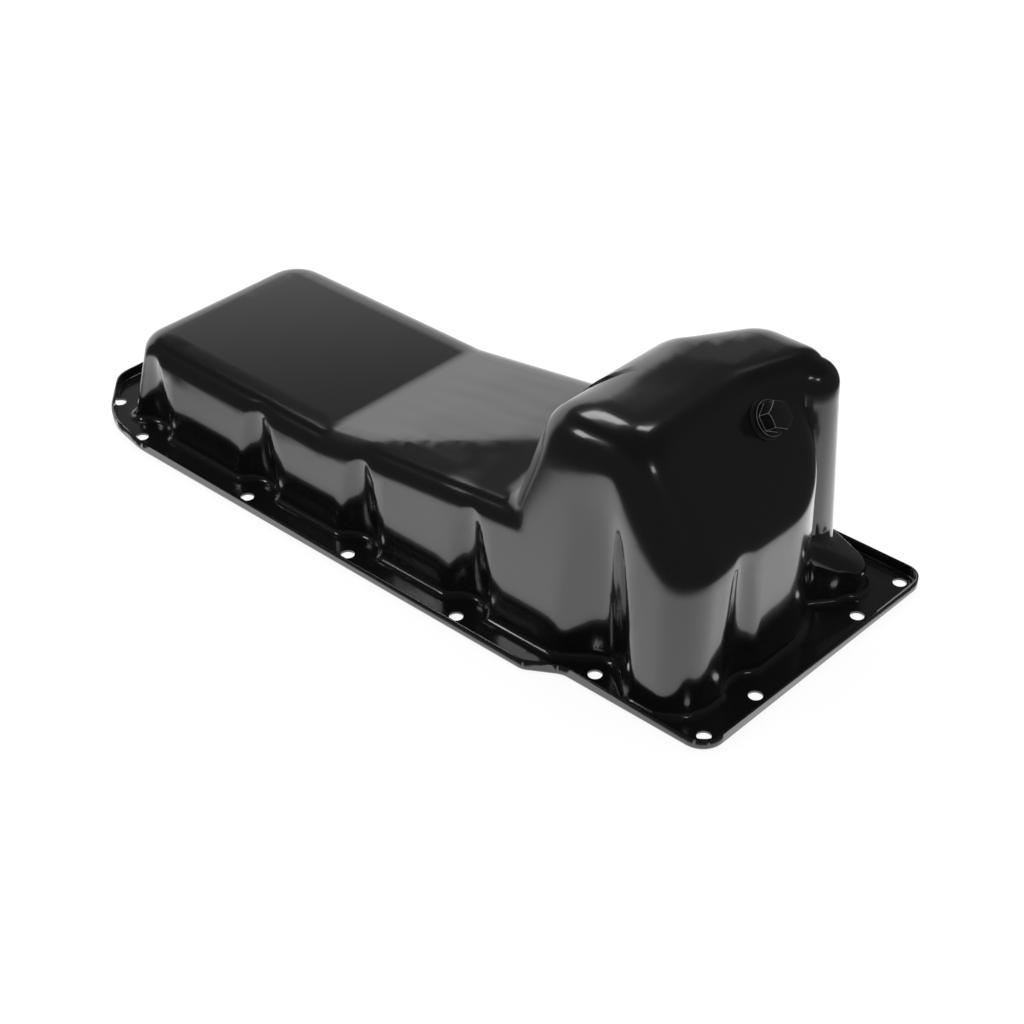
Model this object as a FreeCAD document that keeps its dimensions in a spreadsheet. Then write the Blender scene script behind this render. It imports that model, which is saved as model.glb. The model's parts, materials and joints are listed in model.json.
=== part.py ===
import FreeCAD, Part
import math
import os
from FreeCAD import Placement, Rotation, Vector

# Engine oil pan, deep drawn from one sheet, shown with its gasket face down.
# Origin: middle of the gasket face. +X runs to the sump end, +Z to the sump floor,
# -Y is the near rail, the one with the bolt pockets in full view.

doc = FreeCAD.newDocument("oil_pan_model")
sizes = doc.addObject("Spreadsheet::Sheet", "sizes")
rows = 0


def size(name, value):
    global rows
    rows += 1
    sizes.set("A%d" % rows, name)
    sizes.set("B%d" % rows, str(value))
    sizes.setAlias("B%d" % rows, name)


# flange
size("pan_length", 587.2)
size("pan_width", 247)
size("sheet_thick", 1.5)
size("lip_height", 8.5)
size("lip_bend", 1.2)
size("rail_step", 13.5)
size("root_round", 6)
size("root_inside", 4)
size("tray_corner_length", 39.6)
size("tray_corner_width", 48.5)
size("tray_corner_rise", 8)
size("tray_corner_end", 81.6)
size("tray_corner_round", 22)
size("rail_bend_round", 60)
size("step_start", 135.6)
size("step_length", 22)
size("step_round", 12)
size("near_corner_round", 16)
size("far_corner_round", 14)
# bolts
size("bolt_hole", 9.2)
size("rail_bolt_edge", 11.9)
size("end_bolt_edge", 12.6)
size("corner_bolt_end", 22.5)
size("corner_bolt_side", 31.3)
size("first_bolt_end", 71.4)
size("first_bolt_extra", 13.3)
size("front_bolt_gap", 7.8)
size("groove_bolt_end", 98.4)
size("step_bolt_edge", 14)
size("valley_bolt_gap", 51)
size("foot_bolt_gap", 48.4)
# tray
size("tray_depth", 72)
size("tray_rim", 13.5)
size("tray_end_margin", 34.6)
size("tray_end_lean", 15)
size("near_margin", 23.5)
size("near_lean", 2.39)
size("tray_far_margin", 43.5)
size("tray_far_lean", 13.5)
size("tray_near_corner", 24)
size("tray_far_corner", 28)
size("rise_angle", 10)
size("rise_length", 131.3)
size("band_start", 18)
size("band_slope_along", 0.1023)
size("band_slope_across", 0.1265)
size("pocket_round", 23)
size("pocket_taper", 5.15)
size("pocket_lip", 8)
# sump
size("sump_depth", 172)
size("sump_length", 183.7)
size("sump_front_lean", 18.84)
size("sump_end_margin", 26.6)
size("sump_end_lean", 1.15)
size("sump_edge", 24)
size("sump_far_margin", 51.5)
size("sump_end_corner", 67)
size("incline_angle", 36.87)
size("incline_inset", 54.2)
size("groove_width", 90)
size("groove_floor", 24)
size("groove_fade", 14)
size("groove_tip", 15)
size("groove_lip", 14)
size("valley_round", 22)
size("valley_taper", 5)
size("valley_lip", 9)
# lobe beside the sump block
size("lobe_rise", 1)
size("lobe_far_margin", 30)
size("lobe_far_lean", 2.3)
size("lobe_end_margin", 44.6)
size("lobe_end_lean", 1.72)
size("lobe_edge", 20)
size("lobe_cut_length", 94.7)
size("lobe_cut_angle", 58)
size("lobe_front_corner", 30)
size("ridge_knee_inset", 51)
size("ridge_knee_margin", 115.5)
size("ridge_knee_round", 30)
size("ridge_kink_inset", 36)
size("ridge_kink_margin", 70.5)
size("nose_end_margin", 46.6)
size("nose_drop", 5)
size("nose_edge", 17)
# low skirt and foot on the far side
size("skirt_margin", 24.5)
size("skirt_edge_height", 12.4)
size("skirt_angle", 41.88)
size("skirt_reach", 44)
size("skirt_corner", 32)
size("far_pocket_round", 19)
size("foot_margin", 24.6)
size("foot_height", 37)
size("foot_near", 50)
size("foot_length", 90)
size("foot_start", 134)
size("foot_slope_front", 0.5)
size("foot_slope_along", 0.4)
size("foot_slope_across", 0.5)
size("foot_corner", 17)
size("foot_near_corner", 12)
size("foot_pocket_round", 20)
# drain
size("plug_down", 27)
size("plug_across", 55)
size("thread_size", 14)
size("running_clearance", 0.05)
size("drain_clearance", 0.5)
size("drain_hole", "=thread_size + 2 * drain_clearance")
size("ring_clearance", 0.4)
size("washer_outer", 26)
size("washer_thick", 2)
size("collar_outer", 23)
size("collar_thick", 3)
size("hex_across", 17)
size("hex_height", 9.5)
size("shank_length", 20)
size("nut_collar_outer", 28)
size("nut_collar_thick", 2.5)
size("nut_hex_across", 22)
size("nut_hex_height", 9)
doc.recompute()


def get(name):
    return float(sizes.get(name))


def tan(name):
    return math.tan(math.radians(get(name)))


half_x = get("pan_length") / 2
half_y = get("pan_width") / 2
thick = get("sheet_thick")
near = -half_y + get("near_margin")
end = half_x - get("sump_end_margin")
front = end - get("sump_length")
tray_end = -half_x + get("tray_end_margin")


# prisms over an outline, named by the plane that the outline lies in
def prism_xy(points, low, high):
    wire = Part.makePolygon([Vector(x, y, low) for x, y in points + points[:1]])
    return Part.Face(wire).extrude(Vector(0, 0, high - low))


def prism_xz(points, low, high):
    wire = Part.makePolygon([Vector(x, low, z) for x, z in points + points[:1]])
    return Part.Face(wire).extrude(Vector(0, high - low, 0))


def prism_yz(points, low, high):
    wire = Part.makePolygon([Vector(low, y, z) for y, z in points + points[:1]])
    return Part.Face(wire).extrude(Vector(high - low, 0, 0))


# everything above the plane z = height + along * x + across * y
def above(height, along, across, low, high):
    span = 2 * half_y
    corners = [(low, -span), (high, -span), (high, span), (low, span), (low, -span)]
    base = Part.makePolygon([Vector(x, y, height + along * x + across * y) for x, y in corners])
    top = Part.makePolygon([Vector(x, y, 3 * get("sump_depth")) for x, y in corners])
    return Part.makeLoft([base, top], True, True)


def mid(edge):
    return edge.valueAt((edge.FirstParameter + edge.LastParameter) / 2)


def upright(edge):
    return abs(edge.tangentAt(edge.FirstParameter).z)


def rounded(shape, radius, chosen):
    edges = [edge for edge in shape.Edges if edge.Length > 0.3 and chosen(edge)]
    return shape.makeFillet(radius, edges)


# beyond the near wall, which leans in a little as it rises
def beyond_near(inset):
    foot = near + inset
    deep = 1.3 * get("sump_depth")
    lean = tan("near_lean")
    outline = [(foot - 20 * lean, -20), (foot + deep * lean, deep)]
    return prism_yz(outline + [(near - 80, deep), (near - 80, -20)], -half_x, half_x)


# beyond a far wall that stands at `foot` on the gasket face
def beyond_far(foot, lean):
    deep = 1.3 * get("sump_depth")
    outline = [(foot + 20 * lean, -20), (foot - deep * lean, deep)]
    return prism_yz(outline + [(foot + 90, deep), (foot + 90, -20)], -half_x, half_x)


def tray_form(inset):
    depth = get("tray_depth") - inset
    rim = get("tray_rim") - inset
    left = tray_end + inset
    lean = tan("tray_end_lean")
    rise = tan("rise_angle")
    crease = front - get("rise_length")
    inside = front + 0.6 * get("sump_length")
    outline = [(left, 0), (left + lean * depth, depth), (crease, depth)]
    outline += [(inside, depth + rise * (inside - crease)), (inside, 0)]
    tray = prism_xz(outline, near - 30, half_y)
    # within the sump it keeps clear of the near side, where the bolt groove is
    shallow = front + 0.3 * get("sump_length")
    tray = tray.cut(Part.makeBox(half_x, half_y, 3 * depth, Vector(shallow, -half_y - 40, -10)))
    tray = tray.cut(beyond_near(inset))
    start = crease + get("band_start")
    height = depth + rise * (start - crease)
    edge = near + inset + tan("near_lean") * height
    along = get("band_slope_along")
    across = get("band_slope_across")
    tray = tray.cut(above(height - along * start - across * edge, along, across, start, half_x))
    far = half_y - get("tray_far_margin") - inset
    tray = tray.cut(beyond_far(far, tan("tray_far_lean"))).removeSplitter()

    def end_edge(edge):
        return mid(edge).x < left + lean * depth and upright(edge) > 0.8

    tray = rounded(tray, get("tray_near_corner") - inset, lambda e: end_edge(e) and mid(e).y < 0)
    tray = rounded(tray, get("tray_far_corner") - inset, lambda e: end_edge(e) and mid(e).y > 0)

    def rim_edge(edge):
        spot = mid(edge)
        inner = spot.x > crease - 12 and near + 20 < spot.y < far - 30
        return spot.z > depth - 2 and abs(spot.x - inside) > 1 and not inner

    return rounded(tray, rim, rim_edge)


def pocket_cone(spot, radius, inset, height):
    top = radius + inset - height * tan("pocket_taper")
    return Part.makeCone(radius + inset, top, height, Vector(spot.x, spot.y, -1))


def pocketed_tray(inset):
    tray = tray_form(inset)
    height = get("tray_depth") + 48
    radius = get("pocket_round")
    lip = get("pocket_lip") - inset
    corner = hole_at("corner_near")
    foot = Vector(corner.x, corner.y, -1)
    corner_cut = Part.makeCone(radius + inset, 8 + inset, get("tray_depth") + 3, foot)
    for spot in rail_spots():
        tray = tray.cut(pocket_cone(spot, radius, inset, height))
    tray = tray.cut(corner_cut)
    for spot in [corner] + rail_spots():
        reach = radius + (7 if spot == corner else 1)

        def lip_edge(edge):
            at = mid(edge)
            curved = type(edge.Curve).__name__ != "Line"
            close = abs(at.x - spot.x) < reach and at.y < near + 45
            return curved and close and at.z > 12 and upright(edge) > 0.3 and edge.Length > 2

        tray = rounded(tray, lip, lip_edge)
    return tray


def sump_form(inset):
    depth = get("sump_depth") - inset
    lean = tan("sump_front_lean")
    left = front + inset / math.cos(math.radians(get("sump_front_lean")))
    right = end - inset
    end_lean = tan("sump_end_lean")
    across = math.cos(math.radians(get("incline_angle")))
    upward = math.sin(math.radians(get("incline_angle")))
    reach = across * (end - get("incline_inset")) + upward * get("sump_depth") - inset
    low = (reach - across * right) / (upward - across * end_lean)
    outline = [(left, 0), (left + lean * depth, depth), ((reach - upward * depth) / across, depth)]
    outline += [(right - end_lean * low, low), (right, 0)]
    far = half_y - get("sump_far_margin") - inset
    block = prism_xz(outline, near - 30, far)
    block = block.cut(beyond_near(inset))
    flat = right - 15

    def far_corner(edge):
        return upright(edge) > 0.8 and mid(edge).x > flat and mid(edge).y > far - 3

    block = rounded(block, get("sump_end_corner") - inset, far_corner)

    block = rounded(block, get("sump_edge") - inset, lambda e: mid(e).z > 1)
    # the corner that the lobe stands in place of
    kink = half_y - get("ridge_kink_margin")
    hidden = [(front - 40, near - 4), (end - 55, kink), (end - 55, half_y + 40), (front - 40, half_y + 40)]
    return block.cut(prism_xy(hidden, -5, 2 * depth))


# V groove that lets a wrench reach the bolt at the sump's near side
def groove(inset):
    bolt = hole_at("groove_near")
    half = get("groove_width") / 2
    mouth = near - 10
    ends = []
    for level, fade in ((-5, 0), (get("sump_depth") + 3, get("groove_fade"))):
        tip = near + get("groove_floor") - fade + 1.3 * inset
        start = Vector(bolt.x - half - inset, mouth, level)
        far = Vector(bolt.x + half + inset, mouth, level)
        ends.append(Part.makePolygon([start, Vector(bolt.x, tip, level), far, start]))
    wedge = Part.makeLoft(ends, True, True)

    def tip_edge(edge):
        return abs(mid(edge).x - bolt.x) < 3 and upright(edge) > 0.85 and edge.Length > 15

    return rounded(wedge, get("groove_tip") + inset, tip_edge)


def grooved_sump(inset):
    block = sump_form(inset).cut(groove(inset))
    bolt = hole_at("groove_near")
    half = get("groove_width") / 2

    def groove_lip(edge):
        at = mid(edge)
        beside = abs(at.x - bolt.x) < half + 4 and at.y < near + 22
        return beside and at.z > 20 and upright(edge) > 0.1 and edge.Length > 2

    block = rounded(block, get("groove_lip") - inset, groove_lip)
    bolt = hole_at("valley_near")
    height = get("sump_depth") - 42
    radius = get("valley_round") + inset
    cone = Part.makeCone(radius, radius - get("valley_taper"), height, Vector(bolt.x, bolt.y, -1))
    block = block.cut(cone)

    def valley_lip(edge):
        at = mid(edge)
        beside = at.x > end - 17 and abs(at.y - bolt.y) < 30
        return beside and at.z > 10 and upright(edge) > 0.3

    return rounded(block, get("valley_lip") - inset, valley_lip)


# the line p-q moved to its left by `inset`
def moved(p, q, inset):
    length = math.hypot(q[0] - p[0], q[1] - p[1])
    across = (p[1] - q[1]) / length * inset
    along = (q[0] - p[0]) / length * inset
    return (p[0] + across, p[1] + along), (q[0] + across, q[1] + along)


def crossing(first, second):
    (a, b), (c, d) = first, second
    u = (b[0] - a[0], b[1] - a[1])
    v = (d[0] - c[0], d[1] - c[1])
    t = ((c[0] - a[0]) * v[1] - (c[1] - a[1]) * v[0]) / (u[0] * v[1] - u[1] * v[0])
    return a[0] + t * u[0], a[1] + t * u[1]


def lobe_form(inset):
    depth = get("sump_depth") + get("lobe_rise") - inset
    lean = tan("sump_front_lean")
    left = front + inset / math.cos(math.radians(get("sump_front_lean")))
    right = half_x - get("lobe_end_margin") - inset
    outline = [(left, 0), (left + lean * depth, depth), (right - tan("lobe_end_lean") * depth, depth), (right, 0)]
    lobe = prism_xz(outline, near - 10, half_y + 10)
    far = half_y - get("lobe_far_margin")
    lobe = lobe.cut(beyond_far(far - inset, tan("lobe_far_lean")))
    # its near side in plan: two slopes that meet at a knee
    knee = (end - get("ridge_knee_inset"), half_y - get("ridge_knee_margin"))
    kink = (end - get("ridge_kink_inset"), half_y - get("ridge_kink_margin"))
    begin = moved((front - 43.3, near - 25), knee, inset)
    last = moved(knee, (knee[0] + 4 * (kink[0] - knee[0]), knee[1] + 4 * (kink[1] - knee[1])), inset)
    knee = crossing(begin, last)
    outer = [(half_x + 60, last[1][1]), (half_x + 60, near - 120), (begin[0][0], near - 120)]
    lobe = lobe.cut(prism_xy([begin[0], knee, last[1]] + outer, -5, 2 * depth))
    # its front corner, cut back at an angle
    turn = math.radians(get("lobe_cut_angle"))
    spot = front + get("lobe_cut_length")
    back = (spot - half_y * math.cos(turn) * 2, far - half_y * math.sin(turn) * 2)
    ahead = (spot + half_y * math.cos(turn), far + half_y * math.sin(turn))
    cut = list(moved(ahead, back, inset)) + [(back[0] - half_x, back[1]), (back[0] - half_x, ahead[1])]
    lobe = lobe.cut(prism_xy(cut, -5, 2 * depth))

    def front_far(edge):
        at = mid(edge)
        (ax, ay), (bx, by) = cut[0], cut[1]
        off = ((bx - ax) * (at.y - ay) - (by - ay) * (at.x - ax)) / math.hypot(bx - ax, by - ay)
        return upright(edge) > 0.5 and at.x < end - 50 and abs(off) < 1

    def end_far(edge):
        return upright(edge) > 0.8 and mid(edge).x > end - 50 and mid(edge).y > far - 25

    def knee_edge(edge):
        return upright(edge) > 0.9 and abs(mid(edge).x - knee[0]) < 1 and abs(mid(edge).y - knee[1]) < 1

    lobe = rounded(lobe, get("lobe_front_corner") - inset, front_far)
    lobe = rounded(lobe, get("ridge_knee_round") - inset, knee_edge)
    return rounded(lobe, get("lobe_edge") - inset, lambda e: mid(e).z > depth - 3 or end_far(e))


# the lobe's nose, beyond its near side's second slope
def nose_form(inset):
    depth = get("sump_depth") + get("lobe_rise") - get("nose_drop") - inset
    left = end - 52
    right = half_x - get("nose_end_margin") - inset
    side = half_y - get("ridge_kink_margin") + inset
    outline = [(left, 0), (left, depth), (right - tan("lobe_end_lean") * depth, depth), (right, 0)]
    nose = prism_xz(outline, side, half_y + 10)
    far = half_y - get("lobe_far_margin") - inset
    nose = nose.cut(beyond_far(far, tan("lobe_far_lean")))

    def open_edge(edge):
        at = mid(edge)
        return at.x > left + 1 and (at.z > depth - 3 or (upright(edge) > 0.8 and at.x > right - 10))

    return rounded(nose, get("nose_edge") - inset, open_edge)


# low shoulder along the far wall, between the flange and the tray
def skirt_form(inset):
    far = half_y - get("skirt_margin") - inset
    left = tray_end + 3 + inset
    right = end - 32
    inner = half_y - get("skirt_margin") - get("skirt_reach") + inset
    skirt = prism_xy([(left, inner), (right, inner), (right, far), (left, far)], 0, 42 - inset)
    skirt = rounded(skirt, get("skirt_corner") - inset,
                    lambda e: upright(e) > 0.9 and mid(e).x < left + 6 and mid(e).y > far - 9)
    slope = tan("skirt_angle")
    top = get("skirt_edge_height") + slope * (half_y - get("skirt_margin")) - 1.34 * inset
    skirt = skirt.cut(above(top, 0, -slope, -half_x, half_x))
    edge_level = top - slope * far
    skirt = rounded(skirt, 8, lambda e: abs(mid(e).z - edge_level) < 4 and upright(e) < 0.5 and mid(e).x < right - 1)
    for name in ("first", "second", "third", "front", "groove"):
        spot = hole_at(name + "_far")
        radius = get("far_pocket_round") + inset
        skirt = skirt.cut(Part.makeCone(radius, radius - 3, 40, Vector(spot.x, spot.y, -1)))
    return skirt


# rounded foot where that shoulder ends, at the sump's far corner
def foot_form(inset):
    right = half_x - get("foot_margin") - inset
    far = half_y - get("skirt_margin") + 1 - inset
    left = end - get("foot_length") + inset
    foot = prism_xy([(left, far - 60), (right, far - 60), (right, far), (left, far)], 0, 60)
    # its near side runs aslant out of the sump's own rounded corner
    start, stop = moved((end - 31, get("foot_near") - 18), (end + 11, get("foot_near") + 36), inset)
    foot = foot.cut(prism_xy([start, stop, (stop[0] + 60, start[1] - 60), (start[0], start[1] - 60)], -5, 70))
    foot = rounded(foot, get("foot_corner") - inset,
                   lambda e: upright(e) > 0.9 and mid(e).x > right - 9 and mid(e).y > far - 10)
    foot = rounded(foot, get("foot_near_corner") - inset,
                   lambda e: upright(e) > 0.9 and mid(e).x > right - 9 and mid(e).y < far - 10)
    # two slopes on top: one down to the end and the far side, one down to the front
    along = get("foot_slope_along")
    across = get("foot_slope_across")
    corner_x = end - 29
    corner_y = half_y - get("skirt_margin") - 17
    top = get("foot_height") + corner_x * along + corner_y * across - 1.35 * inset
    foot = foot.cut(above(top, -along, -across, 0, half_x + 40))
    climb = get("foot_slope_front")
    foot = foot.cut(above((get("foot_start") - end) * climb - 1.12 * inset, climb, 0, -half_x, half_x + 40))
    foot = rounded(foot, 8 - inset, lambda e: mid(e).z > 2 and upright(e) < 0.8 and mid(e).x > left + 3)
    spot = hole_at("foot_far")
    radius = get("foot_pocket_round") + inset
    return foot.cut(Part.makeCone(radius, radius - 4, 60, Vector(spot.x, spot.y, -1)))


def drawn_form(inset):
    front_cut = pocket_cone(hole_at("front_near"), get("pocket_round"), inset, get("tray_depth") + 48)
    blocks = [grooved_sump(inset), lobe_form(inset), nose_form(inset), skirt_form(inset), foot_form(inset)]
    return pocketed_tray(inset).fuse(blocks).cut(front_cut).removeSplitter()


# the flange's outline, from the tray's near corner round by the near rail
def flange_outline():
    corner = -half_x + get("tray_corner_length")
    side = half_y - get("tray_corner_rise")
    rail = -half_x + get("tray_corner_end")
    up = half_y - get("tray_corner_width")
    step = half_x - get("step_start")
    inner = -half_y + get("rail_step")
    points = [(-half_x, -up), (corner, -side), (rail, -half_y), (step, -half_y)]
    points += [(step + get("step_length"), inner), (half_x, inner), (half_x, half_y)]
    points += [(rail, half_y), (corner, side), (-half_x, up)]
    names = ["tray_corner_round", "rail_bend_round", "rail_bend_round", "step_round", "far_corner_round"]
    names += ["near_corner_round", "far_corner_round", "rail_bend_round", "rail_bend_round", "tray_corner_round"]
    return points, names


def flange_form():
    height = get("lip_height")
    points, names = flange_outline()
    blank = prism_xy(points, 0, height)
    for point, name in zip(points, names):
        def corner(edge):
            at = mid(edge)
            return upright(edge) > 0.9 and abs(at.x - point[0]) < 1 and abs(at.y - point[1]) < 1
        blank = rounded(blank, get(name), corner)
    top = [face for face in blank.Faces if face.BoundBox.ZMin > height - 0.1][0]
    tub = Part.Face(top.OuterWire.makeOffset2D(-thick)).extrude(Vector(0, 0, thick - height))
    tub = rounded(tub, get("lip_bend"), lambda e: abs(mid(e).z - thick) < 0.1)
    blank = rounded(blank, get("lip_bend") + thick, lambda e: mid(e).z < 0.1)
    return blank.cut(tub)


# round the corner where the drawn walls rise from the flat at `level`
def root_rounded(shape, level, radius):
    def root(edge):
        at = mid(edge)
        flat = abs(at.z - level) < 0.05 and edge.BoundBox.ZLength < 0.05
        return flat and abs(at.y) < half_y - 8 and abs(at.x) < half_x - 9
    return rounded(shape, radius, root)


def pan_shell():
    outside = flange_form().fuse(drawn_form(0)).removeSplitter()
    outside = root_rounded(outside, thick, get("root_round"))
    below = Part.makeBox(2 * half_x + 40, 2 * half_y + 40, 20, Vector(-half_x - 20, -half_y - 20, -20))
    cavity = below.fuse(drawn_form(thick)).removeSplitter()
    cavity = root_rounded(cavity, 0, get("root_inside"))
    return outside.cut(cavity)


holes = {}


def bolt_hole(name, x, y):
    hole = doc.addObject("Part::Cylinder", "bolt_" + name)
    hole.setExpression("Radius", "sizes.bolt_hole / 2")
    hole.setExpression("Height", "sizes.sheet_thick * 4")
    hole.setExpression("Placement.Base.x", x)
    hole.setExpression("Placement.Base.y", y)
    hole.setExpression("Placement.Base.z", "-sizes.sheet_thick * 2")
    holes[name] = hole


def hole_at(name):
    return holes[name].Placement.Base


def rail_spots():
    return [hole_at(name + "_near") for name in ("first", "second", "third", "front")]


# eight bolts a side, the near and far ones in pairs; between the tray's first bolt
# and the one at the sump's front the rail bolts are evenly spaced
half_length = "sizes.pan_length / 2"
half_width = "sizes.pan_width / 2"
rail = half_width + " - sizes.rail_bolt_edge"
first = "(-" + half_length + " + sizes.first_bolt_end)"
last = "(" + half_length + " - sizes.sump_end_margin - sizes.sump_length + sizes.front_bolt_gap)"
space = "(" + last + " - " + first + " - sizes.first_bolt_extra) / 3"
columns = {
    "corner": "-" + half_length + " + sizes.corner_bolt_end",
    "first": first,
    "second": last + " - 2 * " + space,
    "third": last + " - " + space,
    "front": last,
    "groove": half_length + " - sizes.groove_bolt_end",
}
for name, x in columns.items():
    far = half_width + " - sizes.corner_bolt_side" if name == "corner" else rail
    side = "-(" + far + ")"
    if name == "groove":
        side = "-(" + half_width + ") + sizes.rail_step + sizes.step_bolt_edge"
    bolt_hole(name + "_near", x, side)
    bolt_hole(name + "_far", x, far)
edge = half_length + " - sizes.end_bolt_edge"
step_bolt = "-(" + half_width + ") + sizes.rail_step + sizes.step_bolt_edge"
bolt_hole("end_near", edge, step_bolt)
bolt_hole("valley_near", edge, step_bolt + " + sizes.valley_bolt_gap")
bolt_hole("foot_far", edge, rail + " - sizes.foot_bolt_gap")
bolt_hole("end_far", edge, rail)
doc.recompute()

# drain: its seat on the incline, turned so that the drain's own +Z points outward
tilt = math.radians(get("incline_angle"))
outward = Vector(math.cos(tilt), 0, math.sin(tilt))
down = Vector(math.sin(tilt), 0, -math.cos(tilt))
seat_y = half_y - get("sump_far_margin") - get("plug_across")
seat = Vector(end - get("incline_inset"), seat_y, get("sump_depth"))
seat = seat + down * get("plug_down")
turn = Rotation(Vector(0, 0, 1), outward)


def cylinder(name, diameter, height, level=None):
    item = doc.addObject("Part::Cylinder", name)
    item.setExpression("Radius", "(" + diameter + ") / 2")
    item.setExpression("Height", height)
    if level:
        item.setExpression("Placement.Base.z", level)
    return item


def cone(name, lower, upper, height, level):
    item = doc.addObject("Part::Cone", name)
    item.setExpression("Radius1", "(" + lower + ") / 2")
    item.setExpression("Radius2", "(" + upper + ") / 2")
    item.setExpression("Height", height)
    item.setExpression("Placement.Base.z", level)
    return item


def hexagon(name, across, height, level):
    item = doc.addObject("Part::Prism", name)
    item.Polygon = 6
    item.setExpression("Circumradius", across + " / sqrt(3)")
    item.setExpression("Height", height)
    item.setExpression("Placement.Base.z", level)
    return item


def joined(name, items):
    item = doc.addObject("Part::MultiFuse", name)
    item.Shapes = items
    item.Refine = True
    return item


def less(name, base, tool):
    item = doc.addObject("Part::Cut", name)
    item.Base = base
    item.Tool = tool
    return item


def shared(name, base, tool):
    item = doc.addObject("Part::Common", name)
    item.Base = base
    item.Tool = tool
    return item


# the drawn sheet, pierced for its bolts and its drain
def oil_pan():
    shell = doc.addObject("Part::Feature", "drawn_sheet")
    shell.Shape = pan_shell()
    drain = cylinder("drain_pierce", "sizes.drain_hole", "sizes.sheet_thick * 8")
    drain.Placement = Placement(seat - outward * 4 * thick, turn)
    return less("oil_pan", shell, joined("pierced", list(holes.values()) + [drain]))


# weld nut on the inside of the sheet: a round collar, then a hexagon, bored through
def drain_nut():
    deep = "(sizes.nut_collar_thick + sizes.nut_hex_height)"
    collar = cylinder("nut_collar", "sizes.nut_collar_outer", "sizes.nut_collar_thick", "-sizes.nut_collar_thick")
    flats = hexagon("nut_flats", "sizes.nut_hex_across", deep, "-" + deep)
    inner = "sizes.nut_hex_across - 0.6"
    outer = "sizes.nut_hex_across + 2 * sqrt(3) * " + deep
    bevel = cone("nut_bevel", inner, outer, deep, "-" + deep)
    bore = cylinder("nut_bore", "sizes.thread_size", deep + " + 2", "-" + deep + " - 1")
    nut = less("drain_nut", joined("nut_solid", [collar, shared("nut_hexagon", flats, bevel)]), bore)
    nut.Placement = Placement(seat - outward * thick, turn)
    return nut


# flat ring between the sheet and the plug's collar
def plug_gasket():
    ring = cylinder("ring", "sizes.washer_outer", "sizes.washer_thick")
    bore = cylinder("ring_bore", "sizes.thread_size + 2 * sizes.ring_clearance", "sizes.washer_thick + 2", "-1")
    gasket = less("plug_gasket", ring, bore)
    gasket.Placement = Placement(seat, turn)
    return gasket


# screw plug: chamfered hexagon, round collar and plain shank with a coned end
def drain_plug():
    shank_size = "sizes.thread_size - 2 * sizes.running_clearance"
    under = "(sizes.washer_thick - sizes.shank_length)"
    shank = cylinder("shank", shank_size, "sizes.shank_length", under)
    point = cone("shank_end", shank_size + " - 3", shank_size, "1.5", under + " - 1.5")
    collar = cylinder("plug_collar", "sizes.collar_outer", "sizes.collar_thick", "sizes.washer_thick")
    top = "(sizes.washer_thick + sizes.collar_thick)"
    flats = hexagon("plug_flats", "sizes.hex_across", "sizes.hex_height", top)
    wide = "sizes.hex_across + 2 * sqrt(3) * sizes.hex_height"
    bevel = cone("plug_bevel", wide, "sizes.hex_across - 0.6", "sizes.hex_height", top)
    plug = joined("drain_plug", [shank, point, collar, shared("plug_hexagon", flats, bevel)])
    plug.Placement = Placement(seat, turn)
    return plug


pieces = [oil_pan(), drain_nut(), plug_gasket(), drain_plug()]
doc.recompute()
for item in doc.Objects:
    if "Invalid" in item.State or "Error" in item.State:
        raise RuntimeError(item.Name + " did not build")
for piece in pieces:
    if piece.Shape.isNull() or not piece.Shape.isValid():
        raise RuntimeError(piece.Name + " is not a sound solid")
os.makedirs("parts", exist_ok=True)
for piece in pieces:
    piece.Label = piece.Name
    piece.Shape.exportStep("parts/" + piece.Label + ".step")
    box = piece.Shape.BoundBox
    print(piece.Label, len(piece.Shape.Solids), len(piece.Shape.Faces), "%.0f" % piece.Shape.Volume,
          "%.1f %.1f %.1f  %.1f %.1f %.1f" % (box.XMin, box.YMin, box.ZMin, box.XMax, box.YMax, box.ZMax))
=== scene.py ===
import json
import math

import bmesh
import bpy
from mathutils import Matrix, Vector
from mathutils.kdtree import KDTree


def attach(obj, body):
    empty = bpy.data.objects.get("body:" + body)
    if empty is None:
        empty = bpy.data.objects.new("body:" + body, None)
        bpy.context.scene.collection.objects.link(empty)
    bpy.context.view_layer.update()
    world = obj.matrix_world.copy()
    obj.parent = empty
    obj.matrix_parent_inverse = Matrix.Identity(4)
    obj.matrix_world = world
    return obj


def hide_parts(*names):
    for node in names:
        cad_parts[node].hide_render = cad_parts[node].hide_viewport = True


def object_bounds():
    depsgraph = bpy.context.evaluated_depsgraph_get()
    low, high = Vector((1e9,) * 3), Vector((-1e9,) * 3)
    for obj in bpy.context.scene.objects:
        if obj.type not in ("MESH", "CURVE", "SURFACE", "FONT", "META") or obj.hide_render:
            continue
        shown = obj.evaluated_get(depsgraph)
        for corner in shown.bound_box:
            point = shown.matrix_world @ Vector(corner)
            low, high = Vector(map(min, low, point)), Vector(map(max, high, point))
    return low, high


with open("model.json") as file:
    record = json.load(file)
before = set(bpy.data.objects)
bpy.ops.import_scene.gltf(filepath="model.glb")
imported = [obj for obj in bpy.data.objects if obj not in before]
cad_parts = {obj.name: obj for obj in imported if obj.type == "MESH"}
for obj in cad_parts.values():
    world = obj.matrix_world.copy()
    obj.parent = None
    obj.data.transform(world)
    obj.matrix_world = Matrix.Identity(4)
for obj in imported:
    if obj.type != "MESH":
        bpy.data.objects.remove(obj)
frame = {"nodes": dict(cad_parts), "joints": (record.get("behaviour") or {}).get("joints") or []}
cad_low, cad_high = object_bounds()

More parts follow.
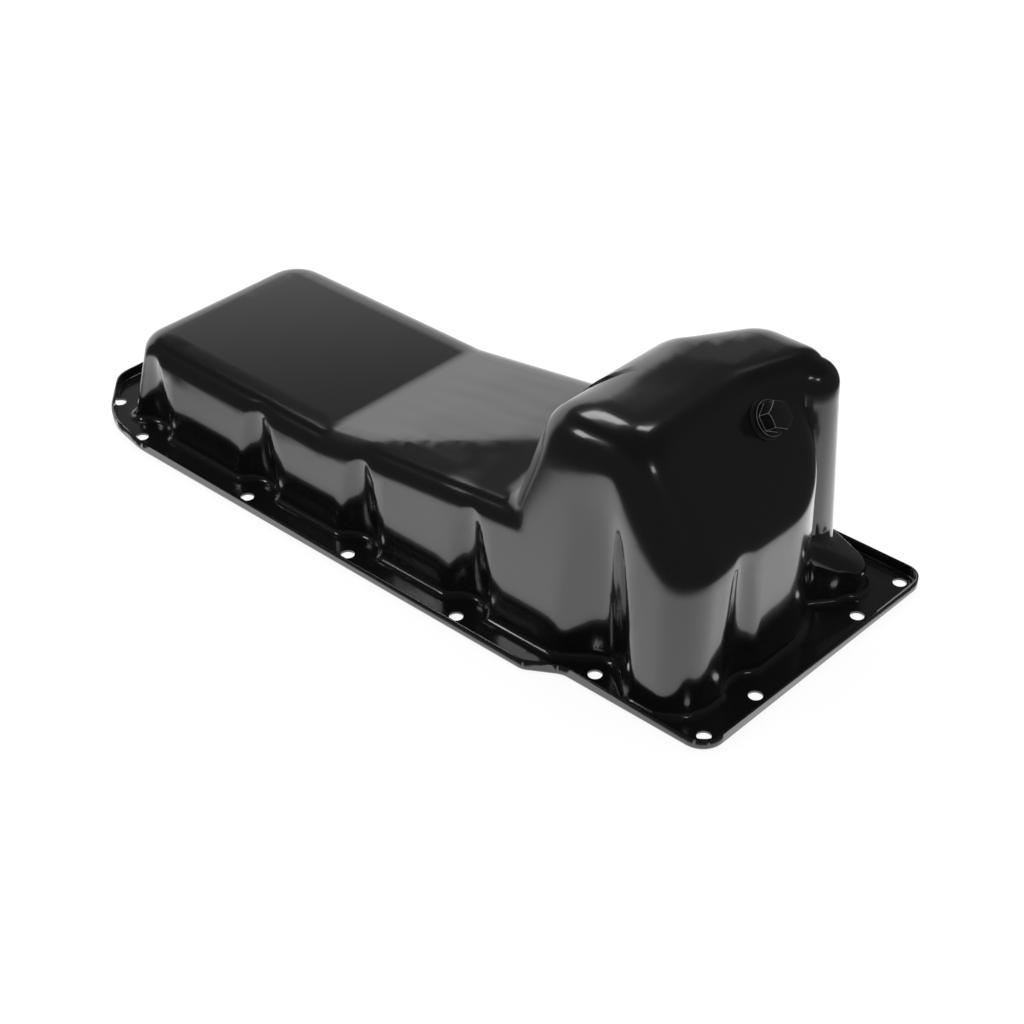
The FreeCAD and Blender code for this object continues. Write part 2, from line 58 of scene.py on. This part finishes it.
# Pan. The real one is a single blank of mild steel, deep drawn in a press, with its rim trimmed and
# pierced, then dipped and baked in gloss black paint. Its skin is the drawn shape's own surface, with
# the light on it turned softly over the creases, as a drawn sheet turns it.
PAINT_BLACK = (0.006, 0.006, 0.0065, 1)
PAINT_GLOSS = 0.2
PAINT_SHINE = 0.6
COAT_GLOSS = 0.08
PEEL_SCALE = 260
PEEL_DEPTH = 0.00001
SAME_POINT = 0.00001
CELL = 0.0095
SOFT_REACH = 0.0065
WIDE_REACH = 0.024
SOFT_ABOVE = 0.006
SAME_SIDE = 0.15
SHOULDER_FOOT = 0.085
SHOULDER_RISE = 0.04
SHOULDER_INNER = 0.028
SHOULDER_FADE = 0.03
SHARP_ANGLE = math.radians(35)
RIPPLE_LONG = 7
RIPPLE_SHORT = 38
RIPPLE_TURN = math.radians(8)
RIPPLE_DEPTH = 0.002
RIPPLE_START = (-0.05, 0.01)
RIPPLE_END = (0.09, 0.06)


def node_in(tree, kind, **settings):
    """A new node in a material's tree, with these settings."""
    made = tree.nodes.new(kind)
    for name, value in settings.items():
        setattr(made, name, value)
    return made


def eased(tree, value, low, high):
    """1 where the value has passed high, 0 before low, with a smooth step between them."""
    made = node_in(tree, "ShaderNodeMapRange", interpolation_type="SMOOTHSTEP")
    tree.links.new(value, made.inputs["Value"])
    made.inputs["From Min"].default_value = low
    made.inputs["From Max"].default_value = high
    return made.outputs["Result"]


def worked_out(tree, operation, *values):
    """What one operation makes of its values, each a number or what another node puts out."""
    made = node_in(tree, "ShaderNodeMath", operation=operation)
    for socket, value in zip(made.inputs, values):
        if isinstance(value, (int, float)):
            socket.default_value = value
        else:
            tree.links.new(value, socket)
    return made.outputs[0]


# the orange peel of the paint and the grain of the rubber, laid with each one's own scale and depth
unevenness = bpy.data.node_groups.new("fine unevenness", "ShaderNodeTree")
unevenness.interface.new_socket("Scale", in_out="INPUT", socket_type="NodeSocketFloat")
unevenness.interface.new_socket("Depth", in_out="INPUT", socket_type="NodeSocketFloat")
unevenness.interface.new_socket("Normal", in_out="OUTPUT", socket_type="NodeSocketVector")
given = node_in(unevenness, "NodeGroupInput")
place = node_in(unevenness, "ShaderNodeTexCoord")
speckle = node_in(unevenness, "ShaderNodeTexNoise")
unevenness.links.new(place.outputs["Object"], speckle.inputs["Vector"])
unevenness.links.new(given.outputs["Scale"], speckle.inputs["Scale"])
bump = node_in(unevenness, "ShaderNodeBump")
unevenness.links.new(speckle.outputs["Fac"], bump.inputs["Height"])
unevenness.links.new(given.outputs["Depth"], bump.inputs["Distance"])
put_out = node_in(unevenness, "NodeGroupOutput")
unevenness.links.new(bump.outputs["Normal"], put_out.inputs["Normal"])


def made_uneven(tree, scale, depth):
    """Lays the fine unevenness over a material."""
    laid = node_in(tree, "ShaderNodeGroup", node_tree=unevenness)
    laid.inputs["Scale"].default_value = scale
    laid.inputs["Depth"].default_value = depth
    tree.links.new(laid.outputs["Normal"], tree.nodes["Principled BSDF"].inputs["Normal"])


def pressed_in(tree, height, depth):
    """Adds a coarser relief under the fine unevenness that a material already has."""
    normal = tree.nodes["Principled BSDF"].inputs["Normal"]
    relief = node_in(tree, "ShaderNodeBump")
    relief.inputs["Distance"].default_value = depth
    tree.links.new(height, relief.inputs["Height"])
    tree.links.new(normal.links[0].from_socket, relief.inputs["Normal"])
    tree.links.new(relief.outputs["Normal"], normal)


def paint(name):
    """Baked black paint: a dark ground under a clear gloss, with a faint orange peel."""
    made = bpy.data.materials.new(name)
    made.use_nodes = True
    shader = made.node_tree.nodes["Principled BSDF"]
    shader.inputs["Base Color"].default_value = PAINT_BLACK
    shader.inputs["Roughness"].default_value = PAINT_GLOSS
    shader.inputs["Specular IOR Level"].default_value = PAINT_SHINE
    shader.inputs["Coat Weight"].default_value = 1
    shader.inputs["Coat Roughness"].default_value = COAT_GLOSS
    made_uneven(made.node_tree, PEEL_SCALE, PEEL_DEPTH)
    return made


def merged(node, name):
    """A copy of a node's mesh with its loose triangles joined, and that mesh open for work."""
    made = bpy.data.objects.new(name, frame["nodes"][node].data.copy())
    bpy.context.scene.collection.objects.link(made)
    made.data.materials.clear()
    if "custom_normal" in made.data.attributes:
        made.data.attributes.remove(made.data.attributes["custom_normal"])
    work = bmesh.new()
    work.from_mesh(made.data)
    bmesh.ops.remove_doubles(work, verts=work.verts, dist=SAME_POINT)
    for face in work.faces:
        face.smooth = True
    return made, work


def reach_at(place):
    """How far a crease is spread: a little on the walls, most on the near shoulder of the sump."""
    up = min(max((place.z - SHOULDER_FOOT) / SHOULDER_RISE, 0), 1)
    near = min(max((SHOULDER_INNER - place.y) / SHOULDER_FADE, 0), 1)
    return SOFT_REACH + (WIDE_REACH - SOFT_REACH) * up * near


def spread_normals(faces, areas, verts):
    """For each point above the flange, the direction of the faces near it on its side of the sheet."""
    centres = KDTree(len(faces))
    for index, face in enumerate(faces):
        centres.insert(face.calc_center_median(), index)
    centres.balance()
    spread = {}
    for vert in verts:
        if vert.co.z > SOFT_ABOVE:
            total = Vector()
            reach = reach_at(vert.co)
            for place, index, away in centres.find_range(vert.co, reach):
                if faces[index].normal.dot(vert.normal) > SAME_SIDE:
                    total += faces[index].normal * areas[index] * (1 - (away / reach) ** 2)
            spread[vert.index] = total.normalized() if total.length else vert.normal.copy()
    return spread


def corner_normals(work):
    """One normal for each face corner: spread above the flange, and on it led by the flat faces."""
    same_flat = math.cos(SHARP_ANGLE)
    faces = list(work.faces)
    areas = [face.calc_area() for face in faces]
    spread = spread_normals(faces, areas, work.verts)
    found = []
    for face in faces:
        for loop in face.loops:
            if loop.vert.index in spread:
                found.append(spread[loop.vert.index])
                continue
            total = Vector()
            for near in loop.vert.link_faces:
                if near.normal.dot(face.normal) > same_flat:
                    total += near.normal * areas[near.index]
            found.append(total.normalized())
    return found


pan, work = merged("oil_pan", "pan_skin")
for axis in range(3):
    low, high = cad_low[axis], cad_high[axis]
    steps = int((high - low) / CELL)
    for step in range(1, steps):
        point = Vector((0, 0, 0))
        point[axis] = low + step * (high - low) / steps
        side = Vector((0, 0, 0))
        side[axis] = 1
        everything = work.verts[:] + work.edges[:] + work.faces[:]
        bmesh.ops.bisect_plane(work, geom=everything, dist=SAME_POINT, plane_co=point, plane_no=side)
bmesh.ops.triangulate(work, faces=work.faces)
work.normal_update()
work.verts.index_update()
work.faces.index_update()
normals = corner_normals(work)
work.to_mesh(pan.data)
work.free()
pan.data.normals_split_custom_set(normals)

# its paint, with the ripples that the press left where the sheet ran to the sump
pan_paint = paint("baked black paint")
tree = pan_paint.node_tree
place = node_in(tree, "ShaderNodeTexCoord")
stretched = node_in(tree, "ShaderNodeMapping")
stretched.inputs["Scale"].default_value = (RIPPLE_LONG, RIPPLE_SHORT, RIPPLE_LONG)
stretched.inputs["Rotation"].default_value = (0, 0, RIPPLE_TURN)
tree.links.new(place.outputs["Object"], stretched.inputs["Vector"])
ripple = node_in(tree, "ShaderNodeTexNoise")
ripple.inputs["Scale"].default_value = 1
ripple.inputs["Detail"].default_value = 1
tree.links.new(stretched.outputs["Vector"], ripple.inputs["Vector"])
parts = node_in(tree, "ShaderNodeSeparateXYZ")
tree.links.new(place.outputs["Object"], parts.inputs[0])
run_in = eased(tree, parts.outputs["X"], *RIPPLE_START)
run_out = eased(tree, parts.outputs["X"], *RIPPLE_END)
rippled = worked_out(tree, "MULTIPLY", run_in, run_out)
pressed_in(tree, worked_out(tree, "MULTIPLY", ripple.outputs["Fac"], rippled), RIPPLE_DEPTH)
pan.data.materials.append(pan_paint)
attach(pan, "pan")
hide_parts("oil_pan")

# Weld nut. The real one is a round steel nut, welded to the inside of the sump behind the drain hole
# before the pan is painted, so that it wears the same paint.
FLAT_ANGLE = math.radians(1)
BEVEL_STEPS = 3


def turned_piece(node, name, bevel=0):
    """A small turned or milled piece: its flats made whole again, and its edges broken by the bevel."""
    made, work = merged(node, name)
    bmesh.ops.dissolve_limit(work, angle_limit=FLAT_ANGLE, verts=work.verts, edges=work.edges)
    for edge in work.edges:
        edge.smooth = edge.calc_face_angle(0) < SHARP_ANGLE
    work.to_mesh(made.data)
    work.free()
    if bevel:
        broken = made.modifiers.new("broken edges", "BEVEL")
        broken.width = bevel
        broken.segments = BEVEL_STEPS
        broken.limit_method = "ANGLE"
        broken.angle_limit = SHARP_ANGLE
        broken.harden_normals = True
    return made


nut = turned_piece("drain_nut", "nut_skin")
nut.data.materials.append(paint("paint on the weld nut"))
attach(nut, "pan")
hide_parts("drain_nut")

# Gasket of the plug. A moulded ring of black rubber, with a dull sheen and a fine grain, held between
# the plug's collar and the sheet.
GASKET_BEVEL = 0.0003
GASKET_BLACK = (0.012, 0.012, 0.012, 1)
GASKET_DULL = 0.38
GASKET_GRAIN_SCALE = 1800
GASKET_GRAIN_DEPTH = 0.00001
gasket = turned_piece("plug_gasket", "gasket_skin", GASKET_BEVEL)
rubber = bpy.data.materials.new("black rubber")
rubber.use_nodes = True
shader = rubber.node_tree.nodes["Principled BSDF"]
shader.inputs["Base Color"].default_value = GASKET_BLACK
shader.inputs["Roughness"].default_value = GASKET_DULL
made_uneven(rubber.node_tree, GASKET_GRAIN_SCALE, GASKET_GRAIN_DEPTH)
gasket.data.materials.append(rubber)
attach(gasket, "gasket")
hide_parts("plug_gasket")

# Drain plug. A cold headed steel plug with a hexagon and a washer face under it, its thread rolled,
# dipped in the same black as the pan.
PLUG_BEVEL = 0.0007
# the pale grey of the painted highlight along the plug's edges
PLUG_EDGE_HIGHLIGHT = (0.5, 0.5, 0.51, 1)
PLUG_EDGE_DULL = 0.35
THREAD_PITCH = 0.0015
THREAD_REACH = 0.0076
THREAD_DEPTH = 0.0004
plug = turned_piece("drain_plug", "plug_skin", PLUG_BEVEL)
plug_black = paint("black finish of the plug")
plug.data.materials.append(plug_black)
# the rolled thread: rings along the axis that the plug turns on, only as far out as the shank
plug_turn = next(joint for joint in frame["joints"] if joint["name"] == "plug_turn")
tree = plug_black.node_tree
place = node_in(tree, "ShaderNodeTexCoord")
from_seat = node_in(tree, "ShaderNodeVectorMath", operation="SUBTRACT")
from_seat.inputs[1].default_value = plug_turn["pos_m"]
tree.links.new(place.outputs["Object"], from_seat.inputs[0])
along = node_in(tree, "ShaderNodeVectorMath", operation="DOT_PRODUCT")
along.inputs[1].default_value = plug_turn["axis"]
tree.links.new(from_seat.outputs["Vector"], along.inputs[0])
across = node_in(tree, "ShaderNodeVectorMath", operation="CROSS_PRODUCT")
across.inputs[1].default_value = plug_turn["axis"]
tree.links.new(from_seat.outputs["Vector"], across.inputs[0])
off_axis = node_in(tree, "ShaderNodeVectorMath", operation="LENGTH")
tree.links.new(across.outputs["Vector"], off_axis.inputs[0])
turns = worked_out(tree, "MULTIPLY", along.outputs["Value"], math.tau / THREAD_PITCH)
crests = worked_out(tree, "SINE", turns)
on_shank = worked_out(tree, "LESS_THAN", off_axis.outputs["Value"], THREAD_REACH)
pressed_in(tree, worked_out(tree, "MULTIPLY", crests, on_shank), THREAD_DEPTH)
# its edges, with a painted highlight: the bevel's faces are painted a pale grey that stands for the light
# along the rounded edges
edge_highlight = paint("painted highlight on the plug's edges")
shader = edge_highlight.node_tree.nodes["Principled BSDF"]
shader.inputs["Base Color"].default_value = PLUG_EDGE_HIGHLIGHT
shader.inputs["Roughness"].default_value = PLUG_EDGE_DULL
plug.data.materials.append(edge_highlight)
# the bevel's faces take the painted highlight
plug.modifiers["broken edges"].material = 1
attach(plug, "plug")
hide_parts("drain_plug")

# Table. A white studio table, a little below the flange, which looks white to the camera and keeps the
# pan's shadow faintly.
TABLE_REACH = 12
TABLE_DROP = 0.0005
TABLE_WHITE = (0.9, 0.9, 0.9, 1)
TABLE_GLOW = 1.12
TABLE_GLOW_SHARE = 0.8
table_mesh = bpy.data.meshes.new("floor")
work = bmesh.new()
bmesh.ops.create_grid(work, x_segments=1, y_segments=1, size=TABLE_REACH)
bmesh.ops.translate(work, verts=work.verts, vec=(0, 0, -TABLE_DROP))
work.to_mesh(table_mesh)
work.free()
floor = bpy.data.objects.new("floor", table_mesh)
bpy.context.scene.collection.objects.link(floor)
floor.visible_glossy = False
white_table = bpy.data.materials.new("white table")
white_table.use_nodes = True
tree = white_table.node_tree
tree.nodes.clear()
matt = node_in(tree, "ShaderNodeBsdfDiffuse")
matt.inputs["Color"].default_value = TABLE_WHITE
glow = node_in(tree, "ShaderNodeEmission")
glow.inputs["Strength"].default_value = TABLE_GLOW
ray = node_in(tree, "ShaderNodeLightPath")
mixed = node_in(tree, "ShaderNodeMixShader")
glow_share = worked_out(tree, "MULTIPLY", ray.outputs["Is Camera Ray"], TABLE_GLOW_SHARE)
tree.links.new(glow_share, mixed.inputs[0])
tree.links.new(matt.outputs[0], mixed.inputs[1])
tree.links.new(glow.outputs[0], mixed.inputs[2])
surface = node_in(tree, "ShaderNodeOutputMaterial")
tree.links.new(mixed.outputs[0], surface.inputs["Surface"])
floor.data.materials.append(white_table)

# Room. It is pale to the camera and an even light on the pan. For the gloss paint to mirror it has the
# table below, one pale wall behind the pan to the left, and the dark of a studio everywhere else.
ROOM_COLOUR = (0.8, 0.8, 0.8, 1)
ROOM_SEEN = 1.02
ROOM_LIGHT = 0.8
TABLE_EDGE = (-0.40, -0.52)
TABLE_BRIGHT = 1.4
WALL_LEFT = -0.9
WALL_BEHIND = 0.43
WALL_EDGE = (0.62, 0.85)
WALL_TOP = (0.55, 0.40)
DARK = 0.03
HAZE = 0.04
HAZE_EDGE = (0.85, 0.5)
room = bpy.data.worlds.new("room")
bpy.context.scene.world = room
room.use_nodes = True
tree = room.node_tree
tree.nodes.clear()
way = node_in(tree, "ShaderNodeTexCoord")
parts = node_in(tree, "ShaderNodeSeparateXYZ")
tree.links.new(way.outputs["Generated"], parts.inputs[0])
side, ahead, rise = parts.outputs
table = worked_out(tree, "MULTIPLY", eased(tree, rise, *TABLE_EDGE), TABLE_BRIGHT)
to_left = worked_out(tree, "MULTIPLY", side, WALL_LEFT)
to_back = worked_out(tree, "MULTIPLY", ahead, WALL_BEHIND)
wall_side = eased(tree, worked_out(tree, "ADD", to_left, to_back), *WALL_EDGE)
wall = worked_out(tree, "MULTIPLY", wall_side, eased(tree, rise, *WALL_TOP))
haze = worked_out(tree, "MULTIPLY", eased(tree, rise, *HAZE_EDGE), HAZE)
unlit = worked_out(tree, "ADD", DARK, haze)
mirrored = worked_out(tree, "MAXIMUM", worked_out(tree, "MAXIMUM", table, wall), unlit)
ray = node_in(tree, "ShaderNodeLightPath")
lit = node_in(tree, "ShaderNodeMix", data_type="FLOAT")
tree.links.new(ray.outputs["Is Glossy Ray"], lit.inputs[0])
lit.inputs[2].default_value = ROOM_LIGHT
tree.links.new(mirrored, lit.inputs[3])
backdrop = worked_out(tree, "MULTIPLY", ray.outputs["Is Camera Ray"], ROOM_SEEN)
sky = node_in(tree, "ShaderNodeBackground")
sky.inputs["Color"].default_value = ROOM_COLOUR
tree.links.new(worked_out(tree, "MAXIMUM", lit.outputs[0], backdrop), sky.inputs["Strength"])
world_out = node_in(tree, "ShaderNodeOutputWorld")
tree.links.new(sky.outputs[0], world_out.inputs["Surface"])

# Lamps. Two soft boxes hang above and behind the pan, and draw the long lights along its edges. A
# small lamp stands at its sump end, and another in front to the left.
LAMP_AIM = Vector((0.15, 0, 0.1))


def lamp(name, turn, rise, away, width, height, level):
    """A soft box: turn is in degrees from +Y towards +X, rise is above the table, level is how bright."""
    made = bpy.data.lights.new(name, "AREA")
    made.shape = "RECTANGLE"
    made.size = width
    made.size_y = height
    made.energy = level * math.pi * width * height
    turn = math.radians(turn)
    rise = math.radians(rise)
    off = Vector((math.sin(turn) * math.cos(rise), math.cos(turn) * math.cos(rise), math.sin(rise)))
    box = bpy.data.objects.new(name, made)
    bpy.context.scene.collection.objects.link(box)
    box.location = LAMP_AIM + off * away
    box.rotation_mode = "QUATERNION"
    box.rotation_quaternion = off.to_track_quat("Z", "Y")
    box.visible_camera = False


lamp("left soft box", turn=-67, rise=52, away=2.2, width=0.9, height=0.36, level=4)
lamp("right soft box", turn=-24, rise=59, away=2.2, width=0.5, height=0.3, level=4)
lamp("side lamp", turn=108, rise=42, away=2.2, width=0.3, height=0.22, level=4)
lamp("front lamp", turn=-137, rise=38, away=2.0, width=0.35, height=0.30, level=5)

# Camera. It looks down on the pan from its near side, at the sump end.
VIEW_TURN = math.radians(42.253)
VIEW_DROP = math.radians(35.027)
VIEW_ROLL = math.radians(0.158)
VIEW_FROM = Vector((0.85293, -0.89709, 0.85002))
PICTURE_SIDE = 1024
FOCAL_PIXELS = 2149.93
SENSOR_WIDTH = 36
right = Vector((math.cos(VIEW_TURN), math.sin(VIEW_TURN), 0))
back = Vector((math.sin(VIEW_TURN) * math.cos(VIEW_DROP), -math.cos(VIEW_TURN) * math.cos(VIEW_DROP),
               math.sin(VIEW_DROP)))
turned = Matrix((right, back.cross(right), back)).transposed() @ Matrix.Rotation(VIEW_ROLL, 3, "Z")
camera_data = bpy.data.cameras.new("camera")
camera_data.sensor_width = SENSOR_WIDTH
camera_data.lens = FOCAL_PIXELS / PICTURE_SIDE * SENSOR_WIDTH
camera = bpy.data.objects.new("camera", camera_data)
bpy.context.scene.collection.objects.link(camera)
camera.matrix_world = Matrix.Translation(VIEW_FROM) @ turned.to_4x4()
bpy.context.scene.camera = camera
bpy.context.scene.view_settings.view_transform = "Standard"
